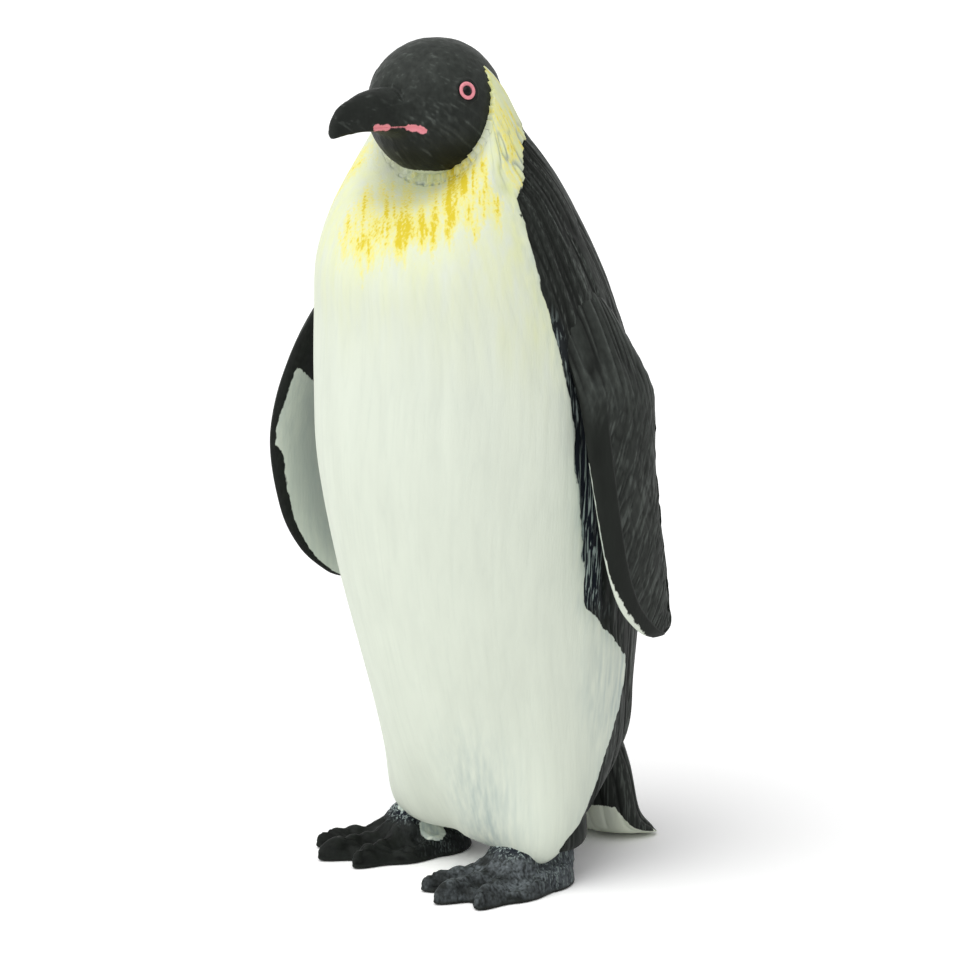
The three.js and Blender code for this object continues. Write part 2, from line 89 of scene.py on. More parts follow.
# Trouser legs: height, lean in degrees, half width, half depth
LEG_SECTIONS = (
    (4.6, -10, 3.4, 3.8),
    (4.2, -10, 4.8, 5.2),
    (5.8, -10, 5.3, 5.7),
    (10.0, -6, 4.8, 5.4),
    (15.0, 0, 3.6, 4.6),
    (20.0, 0, 2.4, 3.2),
)
HEM_RISE = 3.5
HEM_HEADING = np.radians(65)

# Head and bill; bill rows are ahead, half width, upper edge, lower edge
HEAD_PLACE = np.array([0.0, -8.3, 90.65])
HEAD_HALVES = np.array([7.6, 8.2, 7.9])
BILL_SECTIONS = (
    (4.0, 3.0, 2.8, -2.6),
    (8.0, 2.8, 3.3, -2.1),
    (11.3, 2.3, 3.3, -1.5),
    (13.9, 1.8, 2.8, -1.2),
    (16.1, 1.2, 2.0, -1.4),
    (17.2, 0.8, 0.9, -1.6),
    (17.6, 0.3, 0.0, -1.2),
)
MOUTH_HEIGHT = -0.8
MOUTH_SLOPE = 0.1
MOUTH_MIDDLE = 9.15
MOUTH_DROP = 0.2

# Eye beads
EYE_AHEAD = 2.25
EYE_ABOVE = 2.8
EYE_PROFILE = (
    # radius, height above the head
    (0.0, -1.4),
    (1.05, -1.4),
    (1.05, 0.02),
    (1.0, 0.13),
    (0.9, 0.2),
    (0.78, 0.21),
    (0.66, 0.15),
    (0.6, 0.06),
    (0.56, 0.09),
    (0.46, 0.2),
    (0.3, 0.29),
    (0.14, 0.34),
    (0.0, 0.35),
)

# Flippers: height, front edge, rear edge, half thickness, bow outward
FLIPPER_SECTIONS = (
    (6.4, 0.0, 1.2, 0.5, -2.6),
    (5.2, -2.4, 3.4, 1.4, -1.6),
    (0.5, -3.6, 6.0, 2.1, 0.6),
    (-7.5, -4.2, 8.2, 1.9, 3.2),
    (-17.0, -4.3, 6.8, 1.6, 4.8),
    (-26.0, -2.9, 7.5, 1.3, 5.2),
    (-31.5, -0.6, 8.3, 1.1, 5.1),
    (-35.0, 2.9, 8.8, 0.8, 4.9),
    (-36.2, 5.4, 7.7, 0.3, 4.8),
)
SHOULDER_PLACE = np.array([0.0, -2.6, 66.0])
SHOULDER_SIDE = 16.433
FLIPPERS = {
    # side of the body, lift, bow, tuck at the shoulder, flare in degrees
    "left_flipper": (1, 0.0, 1.0, 0.9, 2.0),
    "right_flipper": (-1, 0.9, 2.9, -0.7, -7.5),
}

# Feet: outline share, thickness share, ankle share, ankle height share
FOOT_SECTIONS = (
    (0.1, 0.0, 0.0, 0.0),
    (0.55, 0.0, 0.0, 0.0),
    (0.94, 0.0, 0.0, 0.0),
    (1.0, 0.3, 0.0, 0.0),
    (0.96, 0.72, 0.0, 0.0),
    (0.85, 0.98, 0.0, 0.0),
    (0.7, 1.05, 0.05, 0.03),
    (0.53, 1.05, 0.25, 0.32),
    (0.46, 1.0, 0.65, 0.66),
    (0.45, 1.0, 1.0, 1.0),
)
FEET = {
    # x, y, turn in degrees
    "left_foot": (10.3, -3.2, 1),
    "right_foot": (-8.6, -3.0, -12),
}
TOE_ANGLES = np.radians((-22.5, 0.0, 22.5))
TOE_REACHES = (13.0, 14.2, 13.0)
TOE_SPREAD = np.radians(8.5)
TOE_HEIGHT = 2.7
TOE_FADE = 4
WEB_REACH = 9.4
WEB_HEIGHT = 1.5
WEB_START = np.radians(30)
WEB_END = np.radians(85)
HEEL_REACH = 5.6
HEEL_START = 0.1
HEEL_END = 0.8
ANKLE_SET = 2.0
ANKLE_RADIUS = 3.5
ANKLE_HEIGHT = 8.0

# Tail: spine y, spine z, half width, half thickness
TAIL_SECTIONS = (
    (12.0, 17.0, 2.6, 1.6),
    (14.4, 13.5, 4.2, 3.0),
    (15.9, 8.6, 5.4, 3.6),
    (17.0, 2.7, 6.3, 3.4),
    (19.6, 0.9, 6.6, 1.6),
    (21.2, 0.35, 5.8, 0.3),
)
TAIL_LEAN = np.radians(27)

# Where white gives way to black on the torso's side: height, degrees round from the front
PAINT_LINE = np.array([
    (3.0, 79), (6.0, 83), (8.7, 88), (12.9, 93.5), (16.5, 100), (19.9, 107), (23.3, 112.5), (25.2, 113.5),
    (27.2, 111), (29.8, 100.5), (32.1, 92.5), (34.4, 86), (38.2, 85.5), (45.6, 82.5), (51.0, 80), (58.0, 79),
    (64.9, 76), (68.5, 75.5), (71.9, 76), (75.2, 78.5), (78.4, 80.5), (80.0, 81), (81.6, 83),
    (82.3, 88), (83.0, 93.5), (86.4, 112.5), (88.9, 138), (96.0, 142),
])
# The same on the trouser legs, on their outer and inner sides
LEG_OUTER_LINE = 72
LEG_INNER_LINE = 84
# Black rim along the front of the right flipper's inner face: height, width
INNER_RIM = np.array([
    (-34.5, 0.5), (-31, 0.8), (-26, 1.0), (-20, 1.1), (-18.5, 0.3), (-16, 0.3), (-13, 0.7), (-9, 0.9),
])
# Pale strip round the left flipper's front edge: height, reach outward in shares of half the thickness
STRIP_LIMIT = np.array([
    (-36.2, 0.0), (-35, 0.5), (-31, 0.4), (-28, 0.15), (-25, -0.02), (-20, -0.1), (-14, -0.12),
])
STRIP_WIDTH = 1.4
STRIP_TOP = -14
# Middle of the band of gold dabs: its height in front, and how much it rises with each degree round
THROAT_HEIGHT = 77.5
THROAT_RISE = 0.065
# Paint of the feet: grey dry brush, and navy at the heel
FOOT_DRY = {"left_foot": 2.2, "right_foot": 0.1}
FOOT_NAVY = {"left_foot": 0.35, "right_foot": 0.15}
# On the right foot: a drop of white, and the height of the pale smear round the ankle
SPILL_PLACE = np.array([-4.8, -4.8, 3.4])
SPILL_RADIUS = 1.7
SMEAR_HEIGHT = 5.4
# A mark far on the one or the other side of where its paint begins
NO_PAINT = -1.0
ALL_PAINT = 3.0
# Marks of a skin with neither pink nor gold
PLAIN = {"mouth": NO_PAINT, "dabs": NO_PAINT}

# Size of each skin: points round, rings along
TORSO_GRID = (560, 146)
LEG_GRID = (120, 40)
HEAD_GRID = (260, 210)
EYE_AROUND = 48
FLIPPER_GRID = (256, 360)
FOOT_GRID = (320, 120)
TAIL_GRID = (200, 100)
# The torso's rings lie closer towards the collar, by this power
RING_CROWDING = 1.25
# Side of the lattice of random heights
LATTICE = 512

# The torso's collar, in shares of the way up: where it starts to be torn, how deep, and the crease below it
COLLAR_START = 0.96
COLLAR_TEAR = 0.03
COLLAR_CREASE = 0.978
COLLAR_CREASE_REACH = 0.005
COLLAR_ROLL = (0.04, 0.1, 0.3)

# Depths and places of single features
LIP_DEPTH = 0.45
CHIN_DEPTH = 0.25
FOLD_DEPTH = 0.3
LUMP_DEPTH = 0.09
PIT_DEPTH = 0.04
SLIT_DEPTH = 0.2
BROW_DEPTH = 0.3
LID_RISE = 0.26
LID_RADIUS = 1.35
LID_REACH = 0.22
PANEL_DEPTH = 0.2
REAR_RAGGED = 0.3
TAIL_DEPTH = 0.22
TAIL_CLEARANCE = 0.02
KNUCKLES = (6.6, 8.8, 10.8)


def linear(colour):
    """A hex sRGB colour as linear light: each channel is ((c + 0.055) / 1.055) to the 2.4."""
    channels = (int(colour[i : i + 2], 16) / 255 for i in (1, 3, 5))
    return tuple(c / 12.92 if c <= 0.04045 else ((c + 0.055) / 1.055) ** 2.4 for c in channels)


def paint(title, words, colour):
    """A colour setting."""
    return bpy.props.FloatVectorProperty(
        name=title, description=words, default=linear(colour), size=3, min=0, max=1, subtype="COLOR"
    )


def depth(title, words, size):
    """A length setting, given in millimetres and kept in metres."""
    return bpy.props.FloatProperty(
        name=title, description=words, default=size * MM, min=0, max=MM,
        unit="LENGTH", subtype="DISTANCE", precision=5,
    )


class PenguinPaint(bpy.types.PropertyGroup):
    """Colours of the paints on the figure."""

    cream: paint("Cream", "Belly and legs", "#e1e8d9")
    chest: paint("Chest wash", "Thin yellow over the upper chest", "#eaee9e")
    gold: paint("Gold", "Brush dabs across the throat", "#dfca38")
    straw: paint("Straw", "Thin gold round the dabs and on the ear patches", "#eee78a")
    # Cool grey also stands for painted shade: in the crotch, along the paint line, on the flippers' inner
    # faces, and darker in grooves and folds.
    cool: paint("Cool grey", "Grey wash along the belly's sides and folds", "#adbcb8")
    charcoal: paint("Charcoal", "Back, head, flippers, tail and feet", "#1e211e")
    dry: paint("Dry brush", "Grey dragged over the raised strands", "#6e746f")
    navy: paint("Navy", "Thin dark wash beside the belly", "#161b24")
    pink: paint("Pink", "Mouth and eye rings", "#ec959f")
    slate: paint("Slate", "Dry brush on the feet", "#787f83")
    pupil: paint("Pupil", "Middle of each eye", "#0b0a0c")


class PenguinRelief(bpy.types.PropertyGroup):
    """Depths of the carving."""

    back: depth("Back strands", "Depth of the long grooves down the back", 0.26)
    belly: depth("Belly strands", "Depth of the fine grooves down the belly", 0.035)
    step: depth("Edge step", "How far the white stands above the black", 0.2)
    hatch: depth("Flipper hatch", "Depth of the crossing strokes on the flippers", 0.12)
    foot: depth("Foot wrinkles", "Depth of the wrinkles on the feet", 0.4)


def smoothstep(value, low, high):
    """0 below one level and 1 above another, eased between them by the cubic 3 s^2 - 2 s^3."""
    share = np.clip((value - low) / (high - low), 0, 1)
    return share * share * (3 - 2 * share)


def bell(distance, reach):
    """1 at no distance, falling off as e to the minus square of the distance over the reach."""
    return np.exp(-((distance / reach) ** 2))


def rounded(value, power):
    """A value's power that keeps its sign."""
    return np.sign(value) * np.abs(value) ** power


def spline(sections, share):
    """Rows of a table at any share.

    A cubic runs between two rows, with slopes of half the step between the rows on either side.
    """
    table = np.array(sections, float)
    last = len(table) - 1
    place = np.clip(share, 0, 1) * last
    row = np.minimum(place.astype(int), last - 1)
    part = (place - row)[..., None]
    start = table[row]
    end = table[row + 1]
    leaving = (end - table[np.maximum(row - 1, 0)]) / 2
    arriving = (table[np.minimum(row + 2, last)] - start) / 2
    cubic = 2 * start - 2 * end + leaving + arriving
    square = 3 * end - 3 * start - 2 * leaving - arriving
    return np.moveaxis(((cubic * part + square) * part + leaving) * part + start, -1, 0)


def grid(around, along):
    """Angles round a skin and shares along it, as two arrays of one shape."""
    turn = np.arange(around) / around * FULL_TURN
    return np.meshgrid(turn, np.linspace(0, 1, along))


def grain(across, along, seed, period=LATTICE):
    """Smooth random relief from 0 to 1: random heights on a unit lattice, eased between neighbours."""
    heights = np.random.default_rng(seed).random((LATTICE, period))
    column = np.floor(across).astype(int)
    row = np.floor(along).astype(int)
    right = smoothstep(across - column, 0, 1)
    up = smoothstep(along - row, 0, 1)

    def across_row(number):
        here = heights[number % LATTICE, column % period]
        beside = heights[number % LATTICE, (column + 1) % period]
        return here * (1 - right) + beside * right

    return across_row(row) * (1 - up) + across_row(row + 1) * up


def creases(across, along, seed, power=4):
    """Thin lines where smooth relief crosses its middle; a higher power makes them thinner."""
    return (1 - np.abs(2 * grain(across, along, seed) - 1)) ** power


def strands(turn, along, count, seed):
    """Long wandering strands, as grooves and crests.

    Grooves lie where smooth relief crosses its middle, and crests where it is furthest from it.
    """
    share = turn / FULL_TURN
    drift = 2.5 * grain(share * 12, along * 0.35, seed + 1, 12)
    off = np.abs(2 * grain(share * count + drift, along, seed, count) - 1)
    return (1 - off) ** 4, off**2


def signed_degrees(turn):
    """Angles round a skin in degrees from the front, positive to the figure's left."""
    return np.degrees(np.where(turn > np.pi, turn - FULL_TURN, turn))


def stacked(x, y, z):
    """Points from three coordinates of any matching shapes."""
    return np.stack(np.broadcast_arrays(x, y, z), -1)


def turned(points, angle):
    """Points turned about the upright axis."""
    x, y, z = np.moveaxis(points, -1, 0)
    return stacked(x * np.cos(angle) - y * np.sin(angle), x * np.sin(angle) + y * np.cos(angle), z)


def carved(points, deep):
    """A skin sunk along its own normals, which are the cross products of its steps round and along."""
    around = np.roll(points, -1, 1) - np.roll(points, 1, 1)
    along = np.gradient(points, axis=0)
    normal = np.cross(around, along)
    normal /= np.maximum(np.linalg.norm(normal, axis=-1, keepdims=True), 1e-9)
    outward = points - points.mean(1, keepdims=True)
    normal *= np.sign((normal * outward).sum())
    return points - normal * deep[..., None]


class Shell:
    """A closed skin of rings with a pole at each end, and its painter's marks."""

    def __init__(self, points, **marks):
        along, around, _ = points.shape
        ends = (points[:1].mean(1), points[-1:].mean(1))
        self.points = np.concatenate([points.reshape(-1, 3), *ends])
        self.marks = {}
        for name, value in marks.items():
            value = np.broadcast_to(value, (along, around))
            self.marks[name] = np.concatenate([value.ravel(), [value[0].mean(), value[-1].mean()]])
        index = np.arange(along * around).reshape(along, around)
        beside = np.roll(index, -1, 1)
        self.quads = np.stack([index[:-1], beside[:-1], beside[1:], index[1:]], -1).reshape(-1, 4)
        first = np.stack([np.full(around, along * around), beside[0], index[0]], -1)
        last = np.stack([np.full(around, along * around + 1), index[-1], beside[-1]], -1)
        self.fans = np.concatenate([first, last])
        a, b, c = (self.points[self.quads[:, k]] for k in (0, 1, 2))
        if (np.cross(b - a, c - a) * (a - self.points.mean(0))).sum() < 0:
            self.quads = self.quads[:, ::-1]
            self.fans = self.fans[:, ::-1]


def piece(name, shells, material, slot, *nodes):
    """One mesh object from shells, in the part's frame, riding on the root body in place of its solids."""
    counts = np.cumsum([0] + [len(shell.points) for shell in shells])
    points = (np.concatenate([shell.points for shell in shells]) + ORIGIN) * MM
    quads = np.concatenate([shell.quads + count for shell, count in zip(shells, counts)])
    fans = np.concatenate([shell.fans + count for shell, count in zip(shells, counts)])
    mesh = bpy.data.meshes.new(name)
    mesh.vertices.add(len(points))
    mesh.vertices.foreach_set("co", points.ravel())
    mesh.loops.add(quads.size + fans.size)
    mesh.loops.foreach_set("vertex_index", np.concatenate([quads.ravel(), fans.ravel()]))
    mesh.polygons.add(len(quads) + len(fans))
    starts = np.concatenate([np.arange(len(quads)) * 4, quads.size + np.arange(len(fans)) * 3])
    mesh.polygons.foreach_set("loop_start", starts)
    mesh.update(calc_edges=True)
    mesh.shade_smooth()
    for mark in sorted({mark for shell in shells for mark in shell.marks}):
        values = [shell.marks.get(mark, np.zeros(len(shell.points))) for shell in shells]
        layer = mesh.attributes.new(mark, "FLOAT", "POINT")
        layer.data.foreach_set("value", np.concatenate(values))
    mesh.materials.append(material)
    made = bpy.data.objects.new(name, mesh)
    bpy.context.collection.objects.link(made)
    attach(made, "root")
    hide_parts(*nodes)


def add(tree, kind, sockets=None, out=0, **settings):
    """A node with its settings, and its sockets either linked or set; hands back one of its outputs."""
    made = tree.nodes.new(kind)
    for key, value in settings.items():
        setattr(made, key, value)
    for key, value in (sockets or {}).items():
        if isinstance(value, bpy.types.NodeSocket):
            tree.links.new(value, made.inputs[key])
        else:
            made.inputs[key].default_value = value
    return made.outputs[out]


def opened(name):
    """A new material's node tree, its shader and its Object coordinates."""
    material = bpy.data.materials.new(name)
    material.use_nodes = True
    tree = material.node_tree
    return material, tree, tree.nodes["Principled BSDF"], add(tree, "ShaderNodeTexCoord", out="Object")


def strokes(tree, coords, size, levels=(0.0, 1.0), give=(0.0, 1.0), detail=3.0):
    """Upright brush strokes: noise as narrow and long as a stroke in millimetres.

    What lies between two levels of the noise is spread over the range that is asked for.
    """
    width, length = size[0] * MM, size[1] * MM
    scale = (1 / width, 1 / width, 1 / length)
    stretched = add(tree, "ShaderNodeMapping", {"Vector": coords, "Scale": scale})
    noise = add(tree, "ShaderNodeTexNoise", {"Vector": stretched, "Scale": 1.0, "Detail": detail})
    limits = {"From Min": levels[0], "From Max": levels[1], "To Min": give[0], "To Max": give[1]}
    return add(tree, "ShaderNodeMapRange", {"Value": noise, **limits})


def coat(tree, under, colour, name, brush):
    """Paint over what lies under it: as thick as a painter's mark, broken up by brush strokes."""
    mark = add(tree, "ShaderNodeAttribute", out="Fac", attribute_name=name)
    cover = add(tree, "ShaderNodeMath", {0: mark, 1: brush}, operation="MULTIPLY")
    return add(tree, "ShaderNodeMix", {0: cover, 6: under, 7: colour}, out=2, data_type="RGBA")


def meet(tree, under, over, name, ragged, levels):
    """Two paints that meet along a line: the mark is the distance past it, and bristles make it ragged."""
    mark = add(tree, "ShaderNodeAttribute", out="Fac", attribute_name=name)
    line = add(tree, "ShaderNodeMath", {0: mark, 1: ragged}, operation="ADD")
    share = add(tree, "ShaderNodeMapRange", {"Value": line, "From Min": levels[0], "From Max": levels[1]})
    return add(tree, "ShaderNodeMix", {0: share, 6: under, 7: over}, out=2, data_type="RGBA")


def shade(colour, factor=1.0):
    """A colour made lighter or darker, with the alpha that sockets ask for."""
    return (colour[0] * factor, colour[1] * factor, colour[2] * factor, 1.0)


def pale_paint(tree, coords, colours):
    """Cream with grey laid in its grooves as painted shade, a yellow wash, grey strokes, and gold dabs with
    straw edges.
    """
    uneven = strokes(tree, coords, (2.2, 14), (0.3, 0.75))
    bright, dull = shade(colours.cream), shade(colours.cream, 0.94)
    cream = add(tree, "ShaderNodeMix", {0: uneven, 6: bright, 7: dull}, out=2, data_type="RGBA")
    yellow = coat(tree, cream, shade(colours.chest), "wash", strokes(tree, coords, (1.4, 8), (0.2, 0.7)))
    grey = coat(tree, yellow, shade(colours.cool), "cool", strokes(tree, coords, (0.7, 5), (0.3, 0.7)))
    # Painted shade: darker grey laid where the skins mark grooves, folds and hollows.
    grooved = coat(tree, grey, shade(colours.cool, 0.7), "groove", 0.12)
    speck = strokes(tree, coords, (0.3, 0.9), (0.25, 0.75), (-0.32, 0.32), 4.0)
    straw = meet(tree, grooved, shade(colours.straw), "dabs", speck, (-0.5, 0.0))
    return meet(tree, straw, shade(colours.gold), "dabs", speck, (0.0, 0.25))


def dark_paint(tree, coords, colours, dry, drag, levels):
    """Charcoal, darkened in its grooves and hollows as painted shade, with grey dragged over crests and pale
    streaks beside the belly.
    """
    mottled = strokes(tree, coords, (1.6, 5), (0.3, 0.7), detail=4.0)
    low, high = shade(colours.charcoal, 0.85), shade(colours.charcoal, 1.25)
    base = add(tree, "ShaderNodeMix", {0: mottled, 6: low, 7: high}, out=2, data_type="RGBA")
    # Painted shade: darker charcoal laid where the skins mark grooves and hollows.
    deep = coat(tree, base, shade(colours.charcoal, 0.45), "groove", 1.0)
    dragged = strokes(tree, coords, drag, levels, (0.1, 1.0), 4.0)
    brushed = coat(tree, deep, shade(dry), "ridge", dragged)
    navy = coat(tree, brushed, shade(colours.navy), "streak", 1.0)
    streaks = strokes(tree, coords, (0.24, 12), (0.53, 0.63))
    return coat(tree, navy, shade(colours.cool, 0.95), "streak", streaks)


def painted_vinyl(name, colours, dry, roughness, drag, levels):
    """Soft PVC from a mould, brush-painted by hand: a satin-matt skin whose paints meet in ragged edges.

    The marks "edge" and "mouth" are distances in millimetres past the lines where the next paint begins.
    Drag is the width and length of the dry brush's strokes in millimetres; levels say how broken they are.
    """
    material, tree, shader, coords = opened(name)
    ragged = strokes(tree, coords, (0.4, 1.0), give=(-0.25, 0.25))
    pale = pale_paint(tree, coords, colours)
    dark = dark_paint(tree, coords, colours, dry, drag, levels)
    skin = meet(tree, pale, dark, "edge", ragged, (-0.05, 0.05))
    colour = meet(tree, skin, shade(colours.pink), "mouth", ragged, (-0.05, 0.08))
    tree.links.new(colour, shader.inputs["Base Color"])
    uneven = strokes(tree, coords, (0.8, 3), give=(roughness - 0.1, roughness + 0.1))
    tree.links.new(uneven, shader.inputs["Roughness"])
    # Bristle marks are finer than this; they are drawn a quarter of a millimetre wide so that they show.
    bristles = strokes(tree, coords, (0.25, 1.6))
    bump = add(tree, "ShaderNodeBump", {"Height": bristles, "Strength": 0.25, "Distance": 0.12 * MM})
    tree.links.new(bump, shader.inputs["Normal"])
    shader.inputs["IOR"].default_value = 1.5
    # Matt paint scatters most of the gloss that bare vinyl would have.
    shader.inputs["Specular IOR Level"].default_value = 0.09
    return material


def eye_lacquer(colours):
    """Gloss lacquer over a moulded bead: a pink ring round a black pupil, with a hard highlight.

    The mark "radius" is the distance in millimetres from the bead's axis.
    """
    material, tree, shader, coords = opened("Gloss lacquer on moulded beads")
    blotch = strokes(tree, coords, (0.5, 0.5), (0.35, 0.65))
    low, high = shade(colours.pink, 0.9), shade(colours.pink, 1.1)
    ring = add(tree, "ShaderNodeMix", {0: blotch, 6: low, 7: high}, out=2, data_type="RGBA")
    bead = meet(tree, shade(colours.pupil), ring, "radius", 0.0, (0.56, 0.62))
    colour = meet(tree, bead, shade(colours.charcoal), "radius", 0.0, (1.02, 1.05))
    tree.links.new(colour, shader.inputs["Base Color"])
    radius = add(tree, "ShaderNodeAttribute", out="Fac", attribute_name="radius")
    limits = {"From Min": 0.5, "From Max": 0.6, "To Min": 0.12, "To Max": 0.35}
    gloss = add(tree, "ShaderNodeMapRange", {"Value": radius, **limits})
    tree.links.new(gloss, shader.inputs["Roughness"])
    shader.inputs["IOR"].default_value = 1.5
    # In a bright room the whole dome would mirror white; the level leaves only the lamp's glint.
    shader.inputs["Specular IOR Level"].default_value = 0.15
    return material


def torso_skin(share, turn):
    """Torso: leaning ovals up a spine.

    They are squared and spread at the base, folded at the crotch and twisted above the hips.
    """
    spine, height, lean, half_width, half_depth = spline(TORSO_SECTIONS, share)
    low = 1 - smoothstep(height, 0, BASE_TOP)
    power = 1 - BASE_SQUARE * low
    heading = np.minimum(turn, FULL_TURN - turn)
    hip = np.where(turn < np.pi, LEFT_HIP_SWELL, RIGHT_HIP_SWELL)
    beside = hip * bell(heading - HIP_HEADING, HIP_SPREAD)
    swell = 1 + beside * bell(height - HIP_HEIGHT, HIP_REACH) / half_width
    drop = HIP_DROP * beside * (1 - smoothstep(height, 6, 18))
    thigh = THIGH_SWELL * bell(height - THIGH_HEIGHT, THIGH_REACH) * np.sin(turn) ** THIGH_NARROW
    side = (half_width + thigh) * swell * rounded(np.sin(turn), power)
    front = half_depth * swell * rounded(np.cos(turn), power)
    fold = CROTCH_FOLD * low * bell(side, CROTCH_REACH) * np.maximum(0, np.cos(turn))
    ahead = front * np.cos(np.radians(lean)) - fold
    twist = UPPER_TURN * smoothstep(height, TURN_START, TURN_END)
    x = side * np.cos(twist) + ahead * np.sin(twist)
    y = spine + side * np.sin(twist) - ahead * np.cos(twist)
    return stacked(x, y, height - drop - front * np.sin(np.radians(lean)))


def torso_edge(turn, height, half_width):
    """Distance past the paint line, measured across its slope, with a small random wander."""
    line = np.interp(height, *PAINT_LINE.T)
    across = np.radians(np.abs(signed_degrees(turn)) - line) * half_width
    steep = np.gradient(line, axis=0) / np.maximum(np.gradient(height, axis=0), 0.05)
    edge = across / np.sqrt(1 + (np.radians(steep) * half_width) ** 2)
    return edge + 0.5 * (grain(turn / FULL_TURN * 180, height / 1.4, 5, 180) - 0.5)


def dabbed(points, side, seed):
    """Brush dabs that stand upright seen from one front corner: random strokes, bristles and clumps."""
    level = 0.643 * side * points[..., 0] + 0.766 * points[..., 1]
    height = points[..., 2]
    brush = grain(level / 0.6 + 100, height / 2.6, seed)
    bristle = grain(level / 0.26 + 300, height / 1.7, seed + 1)
    clump = grain(level / 2.4 + 60, height / 3, seed + 2)
    return 0.55 * brush + 0.6 * bristle + 0.35 * clump


def throat_dabs(points, degrees, middle):
    """Where gold lies: dabs raised in a band across the throat, thinner on the right, and sunk elsewhere."""
    height = points[..., 2]
    sides = 1 - smoothstep(np.abs(degrees), 66, 88)
    gap = 1 - 0.7 * bell(degrees + 42, 16)
    band = bell(height - middle, np.where(height > middle, 6.6, 5.0)) * sides * gap
    left = smoothstep(points[..., 0], -10, -6)
    dabs = dabbed(points, 1, 6) * left + dabbed(points, -1, 16) * (1 - left)
    return dabs + 1.3 * band - 1.97 - 0.6 * (1 - smoothstep(band, 0, 0.25))


def ear_dabs(turn, height, patch):
    """Straw colour on the ear patches: thin streaks, and one broader stroke beside the head."""
    streaks = smoothstep(grain(turn / FULL_TURN * 150, height / 3, 44, 150), 0.35, 0.75)
    stroke = bell(height - 89.5, 3.5) * bell(np.abs(signed_degrees(turn)) - 104, 11)
    return np.maximum(patch * (0.3 + 0.7 * streaks) - 1.05, 0.9 * stroke - 1.0)


def chest_wash(height, degrees, middle, edge, patch):
    """Thin yellow: over the upper chest, round the dabs, on the ear patches and below the shoulders."""
    chest = 0.2 * smoothstep(height, 58, 74)
    throat = 0.4 * bell(height - middle, 6.5)
    ears = 0.9 * patch * smoothstep(-edge, 0.2, 1.2)
    aside = 0.3 * bell(height - 69, 9) * smoothstep(np.abs(degrees), 45, 70)
    return np.clip(chest + throat + ears + aside, 0, 1)


def grey_wash_and_shade(height, degrees, edge, patch):
    """Grey: painted shade in the crotch between the legs and along the paint line; a grey wash on the thighs
    and faintly on the ear patches.
    """
    crotch = 0.75 * bell(degrees - 36, 19) * smoothstep(-height, -24, -8)
    line = 0.6 * np.exp(-np.abs(edge) / 1.2) * (1 - patch)
    thigh = 0.65 * bell(height - 23, 6) * smoothstep(np.abs(degrees), 75, 95)
    return np.clip(crotch + line + thigh + 0.15 * patch, 0, 1)


def side_streaks(height, edge):
    """Navy with pale streaks on the black beside the belly: a band that narrows and thins out upwards."""
    reach = 3.4 - 1.2 * smoothstep(height, 45, 62)
    band = smoothstep(reach - edge, 0, 1.2) * (1 - 0.5 * smoothstep(height, 50, 62))
    return band * (1 - smoothstep(height, 65, 71)) * smoothstep(height, 32, 36)


def torso_shell(relief):
    """The torso's skin with strands carved down it, a step at the paint line and a torn, rolled collar."""
    turn, share = grid(*TORSO_GRID)
    level = 1 - (1 - share) ** RING_CROWDING
    tear = grain(turn / FULL_TURN * 140, np.zeros(turn.shape), 3, 140)
    share = level - smoothstep(level, COLLAR_START, 1.0) * COLLAR_TEAR * tear
    points = torso_skin(share, turn)
    height = points[..., 2]
    degrees = signed_degrees(turn)
    edge = torso_edge(turn, height, spline(TORSO_SECTIONS, share)[3])
    black = smoothstep(edge, -0.1, 0.3)
    back, crest = strands(turn, height / 9, 150, 11)
    lines = strands(turn, height / 20, 150, 51)[0]
    belly = strands(turn, height / 7, 200, 21)[0] * (1 - 0.8 * smoothstep(height, 70, 80))
    patch = smoothstep(np.abs(degrees), 70, 95) * smoothstep(height, 79, 83) * (1 - black)
    fold = patch * strands(turn, height / 3, 90, 41)[0] * smoothstep(-height, -92, -86)
    lip = bell(height - 85, 5) * np.where(edge > 0, np.exp(-np.maximum(edge, 0) / 1.2), 0)
    broken = smoothstep(grain(turn / FULL_TURN * 80, height, 9, 80), 0.25, 0.5)
    # Painted shade: a broken dark line in the crease under the collar.
    chin = bell(level - COLLAR_CREASE, COLLAR_CREASE_REACH) * bell(degrees - 20, 55) * broken
    deep = (relief.back * back + relief.step) / MM * black + relief.belly / MM * belly * (1 - black)
    skin = carved(points, deep + LIP_DEPTH * lip + CHIN_DEPTH * chin + FOLD_DEPTH * fold)
    rim = skin[-1]
    rolled = [rim + (rim.mean(0) - rim) * part for part in COLLAR_ROLL]
    middle = THROAT_HEIGHT + THROAT_RISE * np.abs(degrees + 5)
    marks = {
        "edge": edge,
        # Grooves, ear patch folds and the collar crease are darkened as painted shade.
        "groove": back * black + 0.5 * belly * (1 - black) + 7 * fold + 8 * chin,
        "ridge": 0.03 + 0.2 * crest + 0.8 * lines**2,
        "wash": chest_wash(height, degrees, middle, edge, patch),
        "dabs": np.maximum(throat_dabs(points, degrees, middle), ear_dabs(turn, height, patch)),
        # Grey wash, with painted shade in the crotch and along the paint line.
        "cool": grey_wash_and_shade(height, degrees, edge, patch),
        "streak": side_streaks(height, edge),
        "mouth": np.full(turn.shape, NO_PAINT),
    }
    for name, value in marks.items():
        marks[name] = np.concatenate([value, np.repeat(value[-1:], len(rolled), 0)])
    return Shell(np.concatenate([skin, np.array(rolled)]), **marks)


